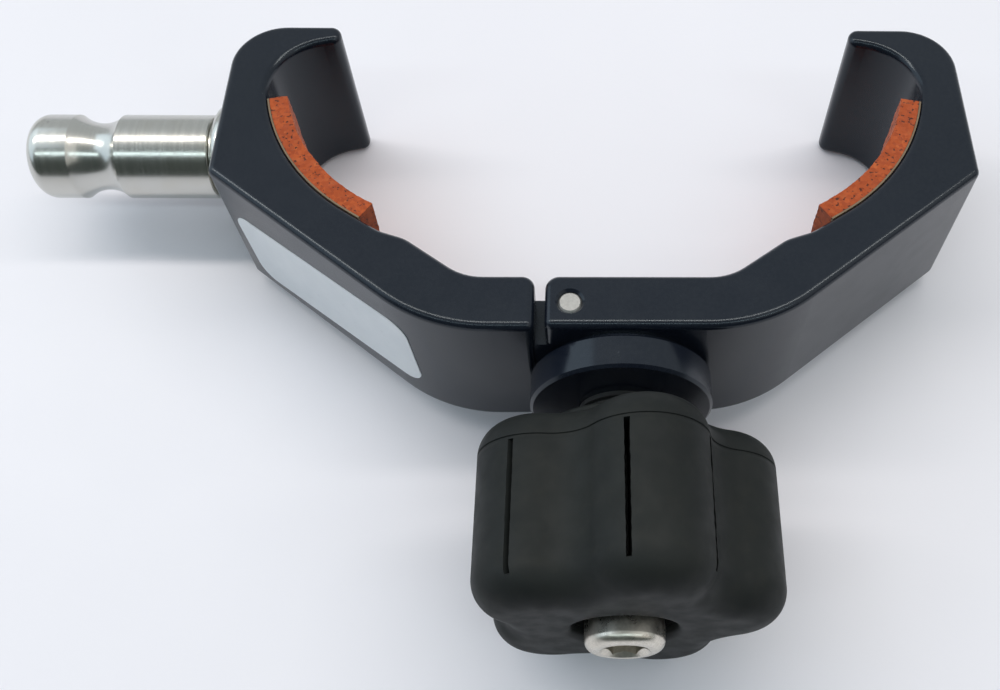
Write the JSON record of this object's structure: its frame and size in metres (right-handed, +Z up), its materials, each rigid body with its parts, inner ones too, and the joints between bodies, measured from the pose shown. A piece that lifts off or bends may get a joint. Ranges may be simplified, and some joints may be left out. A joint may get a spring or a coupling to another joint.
{
  "type": "pole clamp",
  "caption": "Hinged claw clamp for a round pole, opened flat, with lined hook jaws, a lobed hand knob and a grooved quick-release stud.",
  "frame": {"origin": "on the axis of the quick-release stud, at the middle of its plain body, level with mid height of the arms", "axes": "+X along the stud from its nose towards the hinge, +Y from the knob towards the jaw tips, +Z up along the gripped pole's axis"},
  "size_m": [0.1407, 0.0921, 0.039],
  "materials": {
    "anodised_black": "satin black anodised",
    "stainless": "turned stainless",
    "pin_steel": "ground steel",
    "black_screw": "black oxide",
    "bronze": "sintered bronze",
    "cork_rubber": "cork and rubber sheet, matte",
    "film": "adhesive film",
    "label_white": "satin paper sticker",
    "grip_rubber": "matte moulded rubber",
    "core_plastic": "glass filled nylon",
    "nylon": "nylon washer"
  },
  "bodies": {
    "stud_arm": {"left_arm": "anodised_black", "hinge_bush": "bronze", "quick_release_stud": "stainless", "stud_collar": "stainless", "left_pad": "cork_rubber", "left_pad_film": "film", "label": "label_white"},
    "knob_arm": {"right_arm": "anodised_black", "hinge_pin": "pin_steel", "hinge_washers": "pin_steel", "right_pad": "cork_rubber", "right_pad_film": "film", "shaft_housing": "anodised_black", "shaft_bush": "bronze", "end_plug": "bronze", "collar_washers": "pin_steel", "hub_washer": "nylon", "housing_screws": "black_screw"},
    "knob": {"worm_shaft": "pin_steel", "knob_core": "core_plastic", "knob_grip": "grip_rubber", "knob_screw": "stainless", "knob_washer": "pin_steel", "lock_washer": "pin_steel"}
  },
  "joints": [
    {"name": "jaw_swing", "type": "hinge", "parent": "stud_arm", "child": "knob_arm", "pos_m": [0.0621, -0.0344, 0], "axis": [0, 0, 1], "range_deg": [0, 80]},
    {"name": "knob_turn", "type": "hinge", "parent": "knob_arm", "child": "knob", "pos_m": [0.069, -0.0344, 0], "axis": [0, 1, 0], "range_deg": [0, 960]}
  ],
  "couplings": [
    {"joint": "knob_turn", "follows": "jaw_swing", "ratio": 12}
  ]
}
